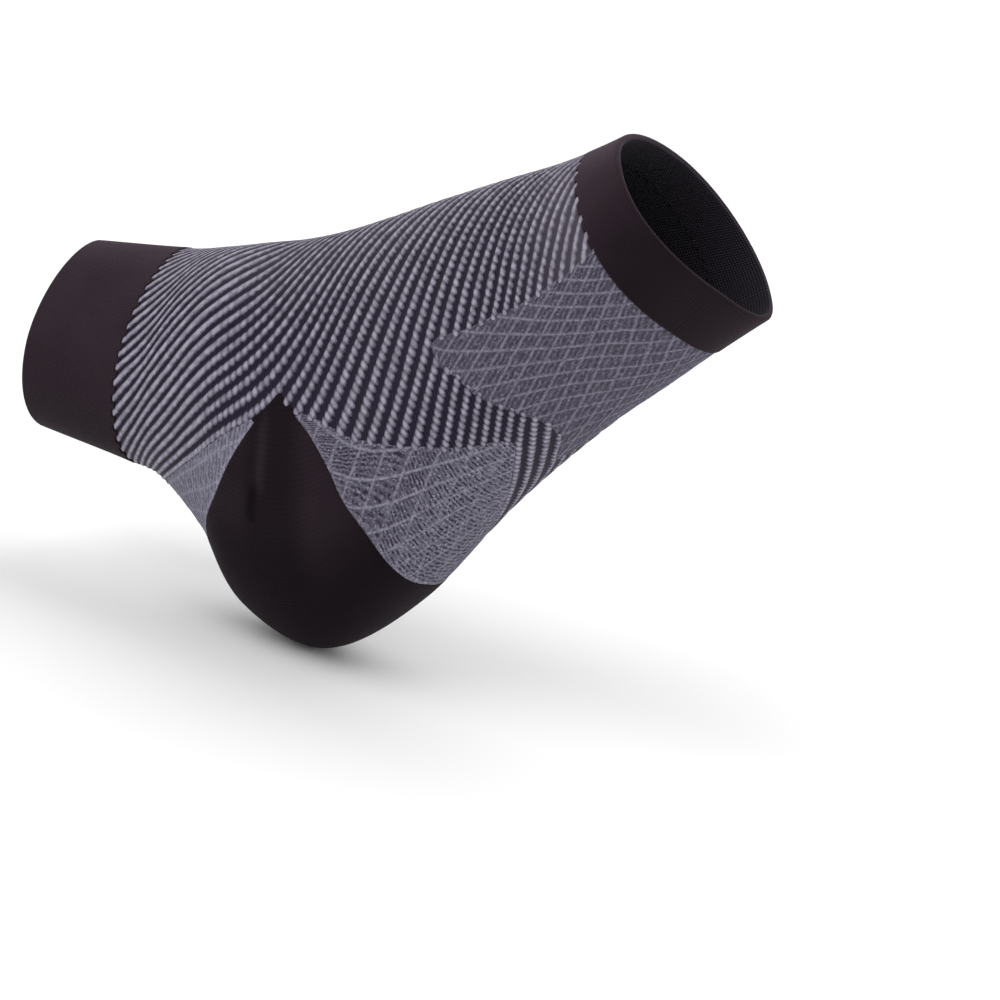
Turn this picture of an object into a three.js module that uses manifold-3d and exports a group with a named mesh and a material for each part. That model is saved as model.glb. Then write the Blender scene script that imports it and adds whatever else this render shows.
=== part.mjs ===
// Open-toe compression foot sleeve for a left foot, in the shape it has when worn. Millimetres.
// The origin is the centre of the ankle opening. +X runs down the leg from it, +Z is the shin and instep
// side, and -Y is the inner side of the foot. The knit is one bent tube, divided into its knitted panels.
import * as THREE from "three";
import Module from "manifold-3d";

// Walls and clearances
const KNIT_WALL = 1.4;
const CUFF_WALL = 2.0;
const CUFF_PROUD = 0.4;
const RIM_ROUNDING = 0.5;
const RIM_LENGTH = 0.8;
const PANEL_GAP = 0.3;
const CUT_REACH = 3;

// How finely the curved walls are divided
const SIDES = 40;
const SLEEVE_STEPS = 25;
const CUFF_STEPS = 2;
const COLUMNS_PER_KEY = 2;
const STEPS_PER_SECTION = 2.5;

// Cross-sections of the sleeve's outer surface, from the ankle opening to the toe opening.
// front_x, front_z: the point on the shin or instep line. back_x, back_z: the point on the heel or sole line.
// inner, outer: half widths to the inner and outer side.
// widest: where the widest place lies, from 0 at the back to 1 at the front.
// front_power, back_power: roundness of each half, 2 is an ellipse and more is squarer.
// twist: degrees that the inner side is lifted towards the front. skew: how far the inner side runs ahead.
const SECTION_COLUMNS = [
  "front_x", "front_z", "back_x", "back_z", "inner", "outer",
  "widest", "front_power", "back_power", "twist", "skew",
];
const SECTIONS = {
  ankle_rim: [3, 28.5, 0, -27.5, 24, 25, 0.5, 1.8, 2, 0, 0],
  cuff_end: [33, 34.5, 33, -29, 24.5, 25, 0.5, 1.8, 2, 0, 0],
  achilles: [46, 38.5, 46, -31.5, 26, 26, 0.5, 1.9, 2, 0, 0],
  heel_top: [60, 43.5, 64, -43, 29, 29, 0.52, 2, 2, 0, 0],
  heel_back: [71, 47.5, 80, -58, 31, 31, 0.5, 2, 2, 2, 0],
  heel_low: [82, 53, 106, -61, 32, 31, 0.48, 2, 2, 5, 0],
  heel_front: [93, 60, 130, -40, 32, 30, 0.44, 2, 2.2, 10, 0],
  arch: [108, 69.5, 149, -8, 32, 30, 0.42, 2, 2.3, 16, 0],
  midfoot: [127, 80, 168, 20, 33, 31, 0.42, 2, 2.4, 22, 0],
  ball: [144, 87.5, 182, 38.5, 35.5, 32, 0.42, 2, 2.5, 26, 1],
  band_edge: [157, 93, 192.5, 53, 37, 32.5, 0.42, 2, 2.5, 29, 2],
  toe_rim: [170, 98.5, 202.5, 67, 38, 33, 0.42, 2, 2.5, 32, 3],
};
const SECTION_NAMES = Object.keys(SECTIONS);
const ROW_NUMBERS = SECTION_NAMES.map((name, row) => row);
const ANKLE_RIM = SECTION_NAMES.indexOf("ankle_rim");
const CUFF_END = SECTION_NAMES.indexOf("cuff_end");
const BAND_EDGE = SECTION_NAMES.indexOf("band_edge");
const TOE_RIM = SECTION_NAMES.indexOf("toe_rim");

// Borders of the panels, one row for each key angle.
// around: degrees round the section, from 0 at the front by the inner side to 180 at the heel or sole line.
// start, end: where the panel begins and ends along the foot, counted in sections.
const HEEL_CUP = [
  { around: 75, start: 4.8, end: 4.86 },
  { around: 80, start: 4.62, end: 5.12 },
  { around: 88, start: 4.36, end: 5.46 },
  { around: 98, start: 4.11, end: 5.71 },
  { around: 110, start: 3.87, end: 5.87 },
  { around: 128, start: 3.5, end: 6.08 },
  { around: 150, start: 3.28, end: 6.18 },
  { around: 180, start: 3.2, end: 6.23 },
];
const REAR_PANEL = [
  { around: 75, start: 4.8 },
  { around: 80, start: 4.62 },
  { around: 84, start: 4.36 },
  { around: 90, start: 3.96 },
  { around: 109, start: 3.15 },
  { around: 133, start: 2.46 },
  { around: 155, start: 2.15 },
  { around: 180, start: 2.05 },
];
const FRONT_PANEL = [
  { around: 75, end: 4.86 },
  { around: 80, end: 5.15 },
  { around: 84, end: 5.5 },
  { around: 92, end: 5.94 },
  { around: 103, end: 6.38 },
  { around: 123, end: 6.89 },
  { around: 142, end: 7.26 },
  { around: 165, end: 7.62 },
  { around: 182, end: 7.3 },
  { around: 190, end: 7.11 },
  { around: 198, end: 6.92 },
  { around: 206, end: 6.73 },
  { around: 214, end: 6.54 },
  { around: 222, end: 6.35 },
  { around: 230, end: 6.15 },
];
const BALL_PANEL = [
  { around: 92, start: 7.28, end: 7.38 },
  { around: 99, start: 7.32, end: 7.72 },
  { around: 104, start: 7.38, end: 8.05 },
  { around: 111, start: 7.48, end: 8.55 },
  { around: 117, start: 7.54, end: 9.3 },
  { around: 121, start: 7.57, end: 10 },
  { around: 139, start: 7.74, end: 10 },
  { around: 155, start: 7.88, end: 10 },
  { around: 170, start: 7.97, end: 10 },
  { around: 180, start: 7.93, end: 10 },
  { around: 195, start: 7.65, end: 10 },
  { around: 215, start: 8.1, end: 10 },
  { around: 230, start: 9, end: 10 },
  { around: 238, start: 9.9, end: 10 },
];
const HALF_TURN = 180;
const FULL_TURN = 360;
// Where the narrow tips of the two heel panels end, before they are too thin to knit
const REAR_TIP = 83;
const FRONT_TIPS = [81, 230];

// Looks of the knits
const BLACK_KNIT = { color: 0x1d1b20, roughness: 0.85, metalness: 0 };
const STRIPED_KNIT = { color: 0x5a5761, roughness: 0.8, metalness: 0 };
const LATTICE_KNIT = { color: 0x6b6977, roughness: 0.8, metalness: 0 };

const wasm = await Module();
wasm.setup();

// Smooth value at a place between listed keys, a cubic that passes through each listed value
function smoothAt(keys, values, place) {
  const last = keys.length - 1;
  const x = THREE.MathUtils.clamp(place, keys[0], keys[last]);
  let i = 0;
  while (i < last - 1 && x > keys[i + 1]) i++;
  const slope = (k) => {
    const low = Math.max(k - 1, 0);
    const high = Math.min(k + 1, last);
    return (values[high] - values[low]) / (keys[high] - keys[low]);
  };
  const width = keys[i + 1] - keys[i];
  const f = (x - keys[i]) / width;
  const rise = f * f * (3 - 2 * f);
  const leave = f * (1 - f) * (1 - f) * width;
  const arrive = f * f * (f - 1) * width;
  return values[i] + (values[i + 1] - values[i]) * rise + slope(i) * leave + slope(i + 1) * arrive;
}

// The cross-section at a place along the foot, as named sizes
const SECTION_ROWS = Object.values(SECTIONS);
const COLUMN_VALUES = SECTION_COLUMNS.map((name, column) => SECTION_ROWS.map((sizes) => sizes[column]));
function sectionAt(row) {
  const sizeOf = (column) => smoothAt(ROW_NUMBERS, COLUMN_VALUES[column], row);
  return Object.fromEntries(SECTION_COLUMNS.map((name, column) => [name, sizeOf(column)]));
}

// A cosine or sine drawn out to the roundness of its half of the section
function rounded(value, power) {
  return Math.sign(value) * Math.abs(value) ** (2 / power);
}

// Point of the outer surface at a place along the foot and an angle round it
function surfacePoint(row, degrees) {
  const s = sectionAt(row);
  const angle = THREE.MathUtils.degToRad(degrees);
  const twist = THREE.MathUtils.degToRad(s.twist);
  const front = Math.cos(angle);
  const side = Math.sin(angle);
  const power = front >= 0 ? s.front_power : s.back_power;
  const depth = Math.hypot(s.front_x - s.back_x, s.front_z - s.back_z);
  const halfDepth = (front >= 0 ? 1 - s.widest : s.widest) * depth;
  const reach = halfDepth * rounded(front, power) + (s.widest - 0.5) * depth;
  const width = (side >= 0 ? s.inner : s.outer) * rounded(side, power);
  const along = reach * Math.cos(twist) + width * Math.sin(twist) + depth / 2;
  const across = -reach * Math.sin(twist) + width * Math.cos(twist);
  const frontward = new THREE.Vector3(s.front_x - s.back_x, 0, s.front_z - s.back_z).normalize();
  const toeward = new THREE.Vector3(frontward.z, 0, -frontward.x);
  return new THREE.Vector3(s.back_x, -across, s.back_z)
    .addScaledVector(frontward, along)
    .addScaledVector(toeward, s.skew * side);
}

// How the surface runs at a point: along the foot for one section, and round it for one degree
const ROW_STEP = 0.02;
const DEGREE_STEP = 0.5;
function surfaceRun(row, degrees) {
  const low = Math.max(row - ROW_STEP, ANKLE_RIM);
  const high = Math.min(row + ROW_STEP, TOE_RIM);
  const along = surfacePoint(high, degrees).sub(surfacePoint(low, degrees)).divideScalar(high - low);
  const round = surfacePoint(row, degrees + DEGREE_STEP).sub(surfacePoint(row, degrees - DEGREE_STEP));
  return { along, round: round.divideScalar(2 * DEGREE_STEP) };
}

// Point that stands off the outer surface, outwards if the distance is positive
function offsetPoint(row, degrees, distance) {
  const { along, round } = surfaceRun(row, degrees);
  const outward = round.cross(along).normalize();
  return surfacePoint(row, degrees).addScaledVector(outward, distance);
}

// How many sections a border moves along the foot when it is set back square to itself by a distance
const MOST_SETBACK = 0.12;
function setback(border, degrees, distance) {
  const slant = (border(degrees + DEGREE_STEP) - border(degrees - DEGREE_STEP)) / (2 * DEGREE_STEP);
  const { along, round } = surfaceRun(border(degrees), degrees);
  const steepness = (slant * along.length()) / round.length();
  return Math.min((distance * Math.hypot(1, steepness)) / along.length(), MOST_SETBACK);
}

// Closed block between an inner and an outer grid of points; corner(i, j, outside) gives each point.
// A block that goes all the way round has its last column joined to its first.
function blockGeometry(columns, steps, goesRound, corner) {
  const positions = [];
  const triangles = [];
  const pointColumns = goesRound ? columns : columns + 1;
  const pointRows = steps + 1;
  for (const outside of [false, true]) {
    for (let i = 0; i < pointColumns; i++) {
      for (let j = 0; j < pointRows; j++) positions.push(...corner(i, j, outside).toArray());
    }
  }
  const inner = (i, j) => (i % pointColumns) * pointRows + j;
  const outer = (i, j) => pointColumns * pointRows + inner(i, j);
  const quad = (a, b, c, d) => triangles.push(a, b, c, a, c, d);
  for (let i = 0; i < columns; i++) {
    for (let j = 0; j < steps; j++) {
      quad(outer(i, j), outer(i + 1, j), outer(i + 1, j + 1), outer(i, j + 1));
      quad(inner(i, j), inner(i, j + 1), inner(i + 1, j + 1), inner(i + 1, j));
    }
    quad(inner(i, 0), inner(i + 1, 0), outer(i + 1, 0), outer(i, 0));
    quad(outer(i, steps), outer(i + 1, steps), inner(i + 1, steps), inner(i, steps));
  }
  for (let j = 0; j < steps && !goesRound; j++) {
    quad(outer(0, j), outer(0, j + 1), inner(0, j + 1), inner(0, j));
    quad(inner(columns, j), inner(columns, j + 1), outer(columns, j + 1), outer(columns, j));
  }
  const geometry = new THREE.BufferGeometry();
  geometry.setAttribute("position", new THREE.Float32BufferAttribute(positions, 3));
  geometry.setIndex(triangles);
  return geometry;
}

// How many sections a distance along the foot is, at the inner side
function rowsFor(row, distance) {
  return distance / surfaceRun(row, HALF_TURN / 2).along.length();
}

// Smooth band round the leg or foot, a little proud of the knit, with rounded rims
function cuffGeometry(from, to) {
  const rim = rowsFor(from, RIM_LENGTH);
  const stations = [from];
  for (let j = 0; j <= CUFF_STEPS; j++) {
    stations.push(THREE.MathUtils.lerp(from + rim, to - rim, j / CUFF_STEPS));
  }
  stations.push(to);
  const last = stations.length - 1;
  return blockGeometry(SIDES, last, true, (i, j, outside) => {
    const rounding = j === 0 || j === last ? RIM_ROUNDING : 0;
    const distance = outside ? CUFF_PROUD - rounding : CUFF_PROUD - CUFF_WALL + rounding;
    return offsetPoint(stations[j], (FULL_TURN * i) / SIDES, distance);
  });
}

// Plain knit tube between two places along the foot
function tubeGeometry(from, to) {
  return blockGeometry(SIDES, SLEEVE_STEPS, true, (i, j, outside) => {
    const row = THREE.MathUtils.lerp(from, to, j / SLEEVE_STEPS);
    return offsetPoint(row, (FULL_TURN * i) / SIDES, outside ? 0 : -KNIT_WALL);
  });
}

// Angles of a panel's columns: a few between each two key angles, so that they follow its border
function columnAngles(keys) {
  const angles = [];
  for (let k = 0; k < keys.length - 1; k++) {
    for (let c = 0; c < COLUMNS_PER_KEY; c++) {
      angles.push(THREE.MathUtils.lerp(keys[k], keys[k + 1], c / COLUMNS_PER_KEY));
    }
  }
  angles.push(keys[keys.length - 1]);
  return angles;
}

// Panel between two borders: a wall set back from them and from its own tips by half the gap, or the block
// that cuts its place, which reaches past them by as much and past both faces of the knit
function panelGeometry(angles, start, end, cuts) {
  const margin = PANEL_GAP / 2;
  const way = cuts ? -1 : 1;
  const innerFace = cuts ? -KNIT_WALL - CUT_REACH : -KNIT_WALL;
  const outerFace = cuts ? CUT_REACH : 0;
  const longest = Math.max(...angles.map((degrees) => end(degrees) - start(degrees)));
  const steps = Math.ceil(longest * STEPS_PER_SECTION);
  const last = angles.length - 1;
  return blockGeometry(last, steps, false, (i, j, outside) => {
    const low = start(angles[i]) + way * setback(start, angles[i], margin);
    const high = end(angles[i]) - way * setback(end, angles[i], margin);
    const row = THREE.MathUtils.lerp(low, high, j / steps);
    const fromTip = i === 0 ? way : i === last ? -way : 0;
    const degrees = angles[i] + (fromTip * margin) / surfaceRun(row, angles[i]).round.length();
    return offsetPoint(row, degrees, outside ? outerFace : innerFace);
  });
}

// A border as a function of the angle
function border(table, column) {
  const keys = table.map((row) => row.around);
  const values = table.map((row) => row[column]);
  return (degrees) => smoothAt(keys, values, degrees);
}

// A border that is the same on the inner and the outer side
function evenBorder(table, column) {
  const oneSide = border(table, column);
  return (degrees) => oneSide(degrees > HALF_TURN ? FULL_TURN - degrees : degrees);
}

const heelStart = evenBorder(HEEL_CUP, "start");
const heelEnd = evenBorder(HEEL_CUP, "end");
const rearStart = evenBorder(REAR_PANEL, "start");
const archEnd = border(FRONT_PANEL, "end");
const frontEnd = (degrees) => {
  if (degrees > FRONT_TIPS[1]) return heelEnd(degrees);
  return Math.max(heelEnd(degrees), archEnd(degrees));
};
const ballStart = border(BALL_PANEL, "start");
const ballWidest = border(BALL_PANEL, "end");
const ballEnd = (degrees) => Math.min(ballWidest(degrees), BAND_EDGE);

// The heel cup, its panels and the place cut for them share their columns, so that their borders match
const heelKeys = HEEL_CUP.map((row) => row.around);
const outerHeelKeys = heelKeys.slice(0, -1).map((around) => FULL_TURN - around);
const frontKeys = FRONT_PANEL.map((row) => row.around);
const lowerKeys = [...new Set([...heelKeys, ...outerHeelKeys, ...frontKeys])].sort((a, b) => a - b);
const heelAngles = columnAngles(lowerKeys);
const rearAngles = heelAngles.filter((degrees) => degrees >= REAR_TIP && degrees <= FULL_TURN - REAR_TIP);
const frontAngles = heelAngles.filter((degrees) => degrees >= FRONT_TIPS[0] && degrees <= FRONT_TIPS[1]);
const ballAngles = columnAngles(BALL_PANEL.map((row) => row.around));

// The striped tube with the places of the panels cut out of it
function solidOf(geometry) {
  const vertProperties = geometry.getAttribute("position").array;
  const triVerts = new Uint32Array(geometry.getIndex().array);
  return new wasm.Manifold(new wasm.Mesh({ numProp: 3, vertProperties, triVerts }));
}
function sleeveGeometry() {
  const halfGap = PANEL_GAP / 2;
  const tube = tubeGeometry(CUFF_END + rowsFor(CUFF_END, halfGap), BAND_EDGE - rowsFor(BAND_EDGE, halfGap));
  const heelPlace = panelGeometry(heelAngles, rearStart, frontEnd, true);
  const ballPlace = panelGeometry(ballAngles, ballStart, ballEnd, true);
  const cut = solidOf(tube).subtract(solidOf(heelPlace)).subtract(solidOf(ballPlace)).getMesh();
  const geometry = new THREE.BufferGeometry();
  geometry.setAttribute("position", new THREE.BufferAttribute(cut.vertProperties, 3));
  geometry.setIndex(new THREE.BufferAttribute(cut.triVerts, 1));
  return geometry;
}

const PIECES = [
  ["ankle_cuff", cuffGeometry(ANKLE_RIM, CUFF_END - rowsFor(CUFF_END, PANEL_GAP / 2)), BLACK_KNIT],
  ["striped_sleeve", sleeveGeometry(), STRIPED_KNIT],
  ["rear_heel_panel", panelGeometry(rearAngles, rearStart, heelStart, false), LATTICE_KNIT],
  ["heel_cup", panelGeometry(heelAngles, heelStart, heelEnd, false), BLACK_KNIT],
  ["front_heel_panel", panelGeometry(frontAngles, heelEnd, frontEnd, false), LATTICE_KNIT],
  ["ball_panel", panelGeometry(ballAngles, ballStart, ballEnd, false), LATTICE_KNIT],
  ["toe_band", cuffGeometry(BAND_EDGE + rowsFor(BAND_EDGE, PANEL_GAP / 2), TOE_RIM), BLACK_KNIT],
];

const sleeve = new THREE.Group();
sleeve.name = "foot_sleeve";
for (const [name, geometry, look] of PIECES) {
  geometry.computeVertexNormals();
  const mesh = new THREE.Mesh(geometry, new THREE.MeshStandardMaterial(look));
  mesh.name = name;
  sleeve.add(mesh);
}
export default sleeve;
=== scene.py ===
"""Knitted open-toe compression foot sleeve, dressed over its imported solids.

Sizes are in millimetres until a mesh is made. A place on the knit is given by row, counted in
cross-sections from the ankle opening, and by degrees round it: 0 front, 90 inner side, 180 back or sole.
A pair of numbers for a change says where it starts and where it is complete.
"""
import math
import bpy
import numpy as np
from mathutils import Matrix, Vector


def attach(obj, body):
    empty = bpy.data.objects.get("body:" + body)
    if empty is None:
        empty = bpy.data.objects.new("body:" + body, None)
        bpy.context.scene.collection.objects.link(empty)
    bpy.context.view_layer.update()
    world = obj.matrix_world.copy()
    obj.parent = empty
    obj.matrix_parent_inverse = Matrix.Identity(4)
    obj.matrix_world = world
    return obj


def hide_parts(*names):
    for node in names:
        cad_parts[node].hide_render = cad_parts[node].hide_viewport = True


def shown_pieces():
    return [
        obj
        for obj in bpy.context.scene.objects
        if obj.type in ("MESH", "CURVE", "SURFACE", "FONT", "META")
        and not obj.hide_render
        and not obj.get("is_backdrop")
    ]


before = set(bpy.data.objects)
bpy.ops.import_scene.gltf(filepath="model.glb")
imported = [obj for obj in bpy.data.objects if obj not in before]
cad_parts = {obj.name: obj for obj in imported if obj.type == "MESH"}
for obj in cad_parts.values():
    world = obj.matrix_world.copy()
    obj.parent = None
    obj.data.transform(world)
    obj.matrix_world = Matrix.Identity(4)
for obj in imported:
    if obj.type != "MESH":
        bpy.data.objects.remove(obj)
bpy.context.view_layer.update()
MM = 0.001

# Walls, and the roundings of their edges, which stop a little short of upright
KNIT_WALL = 1.4
CUFF_WALL = 2.0
CUFF_PROUD = 0.4
RIM_ROUNDING = 0.85
CUFF_EDGE_ROUNDING = 0.4
PANEL_EDGE_ROUNDING = 0.12
ROUNDED_SHARE = 0.98
SHARP_ANGLE = math.radians(60)

# Cross-sections of the outer surface, the same as the solids have
SECTION_COLUMNS = (
    "front_x", "front_z", "back_x", "back_z", "inner", "outer",
    "widest", "front_power", "back_power", "twist", "skew",
)
SECTIONS = {
    "ankle_rim": (3, 28.5, 0, -27.5, 24, 25, 0.5, 1.8, 2, 0, 0),
    "cuff_end": (33, 34.5, 33, -29, 24.5, 25, 0.5, 1.8, 2, 0, 0),
    "achilles": (46, 38.5, 46, -31.5, 26, 26, 0.5, 1.9, 2, 0, 0),
    "heel_top": (60, 43.5, 64, -43, 29, 29, 0.52, 2, 2, 0, 0),
    "heel_back": (71, 47.5, 80, -58, 31, 31, 0.5, 2, 2, 2, 0),
    "heel_low": (82, 53, 106, -61, 32, 31, 0.48, 2, 2, 5, 0),
    "heel_front": (93, 60, 130, -40, 32, 30, 0.44, 2, 2.2, 10, 0),
    "arch": (108, 69.5, 149, -8, 32, 30, 0.42, 2, 2.3, 16, 0),
    "midfoot": (127, 80, 168, 20, 33, 31, 0.42, 2, 2.4, 22, 0),
    "ball": (144, 87.5, 182, 38.5, 35.5, 32, 0.42, 2, 2.5, 26, 1),
    "band_edge": (157, 93, 192.5, 53, 37, 32.5, 0.42, 2, 2.5, 29, 2),
    "toe_rim": (170, 98.5, 202.5, 67, 38, 33, 0.42, 2, 2.5, 32, 3),
}
ROW_NUMBERS = np.arange(len(SECTIONS))
SECTION_VALUES = np.array(list(SECTIONS.values()), float)
LAST_ROW = len(SECTIONS) - 1
CUFF_END = list(SECTIONS).index("cuff_end")
BAND_EDGE = list(SECTIONS).index("band_edge")

# Borders of the panels: degrees round the section, then where the border lies, in rows
HEEL_START = (
    (75, 4.8), (80, 4.62), (88, 4.36), (98, 4.11), (110, 3.87), (128, 3.5), (150, 3.28), (180, 3.2),
)
HEEL_END = (
    (75, 4.86), (80, 5.12), (88, 5.46), (98, 5.71), (110, 5.87), (128, 6.08), (150, 6.18), (180, 6.23),
)
REAR_START = (
    (75, 4.8), (80, 4.62), (84, 4.36), (90, 3.96), (109, 3.15), (133, 2.46), (155, 2.15), (180, 2.05),
)
FRONT_END = (
    (75, 4.86), (80, 5.15), (84, 5.5), (92, 5.94), (103, 6.38), (123, 6.89), (142, 7.26), (165, 7.62),
    (182, 7.3), (190, 7.11), (198, 6.92), (206, 6.73), (214, 6.54), (222, 6.35), (230, 6.15),
)
BALL_START = (
    (92, 7.28), (99, 7.32), (104, 7.38), (111, 7.48), (117, 7.54), (121, 7.57), (139, 7.74), (155, 7.88),
    (170, 7.97), (180, 7.93), (195, 7.65), (215, 8.1), (230, 9), (238, 9.9),
)
BALL_END = ((92, 7.38), (99, 7.72), (104, 8.05), (111, 8.55), (117, 9.3), (121, 10), (238, 10))

# Degrees at the inner and the outer tip of each panel
HEEL_TIPS = (75, 285)
REAR_TIPS = (83, 277)
FRONT_TIPS = (81, 230)
BALL_TIPS = (92, 238)

# Farther than any place on the sleeve is from a border
FAR = 99

# Stripes, counted on the photo. row: place along the foot. count: stripes passed since the cuff, at
# COUNT_ANGLE. The rest say how many stripes would go all round if they lay as close everywhere as at
# each of STRIPE_ANGLES.
STRIPE_COLUMNS = ("row", "count", "front", "shin_side", "ankle_side", "back", "sole")
STRIPE_ANGLES = (0, 40, 80, 120, 160)
STRIPES = (
    (1, 0, 52, 50, 45, 40, 31),
    (1.5, 2.4, 47, 44, 43, 46, 42),
    (2, 4.9, 45, 40, 38, 50, 52),
    (2.5, 7.4, 41, 39, 38, 63, 65),
    (3, 9.2, 39, 42, 47, 73, 73),
    (4, 12.2, 32, 45, 63, 75, 75),
    (5, 15.8, 25, 34, 49, 59, 67),
    (6, 19.5, 26, 32, 31, 38, 53),
    (7, 22.7, 27, 29, 29, 27, 42),
    (8, 27, 29, 25, 28, 32, 40),
    (9, 31, 37, 35, 33, 28, 28),
    (10, 34, 44, 43, 39, 28, 19),
)
STRIPE_VALUES = np.array(STRIPES)
COUNT_ANGLE = 60

# Stripes that really go all round. The number changes only where a panel takes up the back or the sole,
# so that the stripes close on themselves everywhere else. A change: from row, to row, stripes after it.
STRIPES_ROUND_LEG = 40
ROUND_CHANGES = (
    (2.1, 4.8, 48),
    (4.8, 7.25, 38),
    (7.95, 10, 40),
)

# Degrees each side of the sole's middle that the section's flatness squeezes together
SOLE_FLAT = 15

# Light ropes of the stripes: half their share of a stripe, the softness of their sides in the mesh and in
# the shader, how far they run over a border, and their relief
ROPE_HALF_LEG = 0.265
ROPE_HALF_FOOT = 0.225
ROPE_NARROWS = (2.4, 4.5)
ROPE_SOFT = 0.05
ROPE_SHADE_IN = 0.17
ROPE_SHADE_OUT = 0.115
TOOTH = 0.5
ROPE_RISE = 0.13
MOST_RISE = 0.5
ROPE_SUNK = 0.5
ROPE_END = 0.9
ROPE_END_LEAST = 0.04
INNER_ROPE_RISE = 0.15

# Slanted strokes that make up a rope: length, lean, and the angle where they are counted
STROKE = 2.15
STROKE_LEAN = 0.42
STROKE_ANGLE = 80

# How clearly the strokes show as beads: in which rows, how much less by the toes, and on which degrees
BEADS_START = (2.6, 4.4)
BEADS_FADE = (8.6, 9.7)
BEADS_LOST = 0.65
BEADS_SIDE = (25, 75)
BEADS_FRONT = 0.3

# Where the ground is paler: stretched thin towards the toes, in rows, and with painted light from above
# over the shin and the top of the foot, in degrees
TOES_THIN = (8.2, 9.8)
FRONT_PAINTED_LIGHT_DEGREES = (15, 60)
FRONT_PAINTED_LIGHT = 0.6


def smooth_step(low, high, x):
    """0 before low, 1 after high, and a smooth rise between them."""
    f = np.clip((x - low) / (high - low), 0, 1)
    return f * f * (3 - 2 * f)


def mound(off, half):
    """1 in the middle, falling smoothly to nothing on both sides."""
    return np.exp(-((off / half) ** 2))


def smooth_at(keys, values, place):
    """Cubic through the listed values, as the solids use it."""
    keys = np.asarray(keys, float)
    values = np.asarray(values, float)
    x = np.clip(place, keys[0], keys[-1])
    i = np.searchsorted(keys[1:-1], x, side="left")
    slopes = np.empty_like(values)
    slopes[1:-1] = (values[2:] - values[:-2]) / (keys[2:] - keys[:-2])
    slopes[0] = (values[1] - values[0]) / (keys[1] - keys[0])
    slopes[-1] = (values[-1] - values[-2]) / (keys[-1] - keys[-2])
    width = keys[i + 1] - keys[i]
    f = (x - keys[i]) / width
    rise = f * f * (3 - 2 * f)
    leave = f * (1 - f) * (1 - f) * width
    arrive = f * f * (f - 1) * width
    return values[i] + (values[i + 1] - values[i]) * rise + slopes[i] * leave + slopes[i + 1] * arrive


def rounded(value, power):
    """A cosine or sine drawn out to the roundness of its half of the section."""
    return np.sign(value) * np.abs(value) ** (2 / power)


def surface(row, degrees):
    """Points of the outer surface, in an array with a last axis of x, y, z."""
    s = {name: smooth_at(ROW_NUMBERS, SECTION_VALUES[:, k], row) for k, name in enumerate(SECTION_COLUMNS)}
    front = np.cos(np.radians(degrees))
    side = np.sin(np.radians(degrees))
    twist = np.radians(s["twist"])
    power = np.where(front >= 0, s["front_power"], s["back_power"])
    lean_x = s["front_x"] - s["back_x"]
    lean_z = s["front_z"] - s["back_z"]
    depth = np.hypot(lean_x, lean_z)
    half_depth = np.where(front >= 0, 1 - s["widest"], s["widest"]) * depth
    reach = half_depth * rounded(front, power) + (s["widest"] - 0.5) * depth
    width = np.where(side >= 0, s["inner"], s["outer"]) * rounded(side, power)
    along = reach * np.cos(twist) + width * np.sin(twist) + depth / 2
    across = -reach * np.sin(twist) + width * np.cos(twist)
    ahead = s["skew"] * side
    x = s["back_x"] + (lean_x * along + lean_z * ahead) / depth
    z = s["back_z"] + (lean_z * along - lean_x * ahead) / depth
    return np.stack([x, -across, z], -1)


# Small steps that slopes are measured over
ROW_STEP = 0.02
DEGREE_STEP = 0.5


def lengths(vectors):
    return np.sqrt((vectors * vectors).sum(-1))


def runs(row, degrees):
    """How the surface runs: along the foot for one row, and round it for one degree."""
    low = np.maximum(row - ROW_STEP, 0)
    high = np.minimum(row + ROW_STEP, LAST_ROW)
    along = (surface(high, degrees) - surface(low, degrees)) / (high - low)[..., None]
    ahead = surface(row, degrees + DEGREE_STEP) - surface(row, degrees - DEGREE_STEP)
    return along, ahead / (2 * DEGREE_STEP)


def side_of(degrees):
    """Degrees from the front, counted the same way round both sides."""
    return 180 - np.abs(180 - degrees)


def border(table):
    """A border's row as a function of the angle."""
    keys, values = zip(*table)
    return lambda degrees: smooth_at(keys, values, degrees)


def even(table):
    """A border that is the same on the inner and the outer side."""
    one_side = border(table)
    return lambda degrees: one_side(side_of(degrees))


heel_start = even(HEEL_START)
heel_end = even(HEEL_END)
rear_start = even(REAR_START)
arch_end = border(FRONT_END)
ball_start = border(BALL_START)
ball_widest = border(BALL_END)


def front_end(degrees):
    """End of the front heel panel, which closes on the heel cup beyond its outer tip."""
    reach = np.where(degrees <= FRONT_TIPS[1], arch_end(degrees), 0)
    return np.maximum(heel_end(degrees), reach)


def ball_end(degrees):
    return np.minimum(ball_widest(degrees), BAND_EDGE)


class Place:
    """Rows and degrees of many points, with the knit's own measures there."""

    def __init__(self, row, degrees):
        self.row = np.asarray(row, float)
        self.degrees = np.mod(np.asarray(degrees, float), 360)
        self.along, self.round = runs(self.row, self.degrees)
        self.row_mm = lengths(self.along)
        self.degree_mm = lengths(self.round)

    def past(self, line):
        """Distance beyond a border towards the toes."""
        slant = (line(self.degrees + DEGREE_STEP) - line(self.degrees - DEGREE_STEP)) / (2 * DEGREE_STEP)
        steep = np.hypot(1 / self.row_mm, slant / self.degree_mm)
        return (self.row - line(self.degrees)) / steep

    def past_row(self, row):
        return (self.row - row) * self.row_mm

    def in_tips(self, tips):
        """Distance to the nearer of two tips, less than 0 beyond it."""
        return np.minimum(self.degrees - tips[0], tips[1] - self.degrees) * self.degree_mm

    def beyond(self, tips):
        return (self.degrees < tips[0]) | (self.degrees > tips[1])

    def points(self, height):
        """Points so high above the outer surface."""
        outward = np.cross(self.round, self.along)
        outward /= lengths(outward)[..., None]
        height = np.broadcast_to(height, self.row.shape)
        return surface(self.row, self.degrees) + outward * height[..., None]


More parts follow.
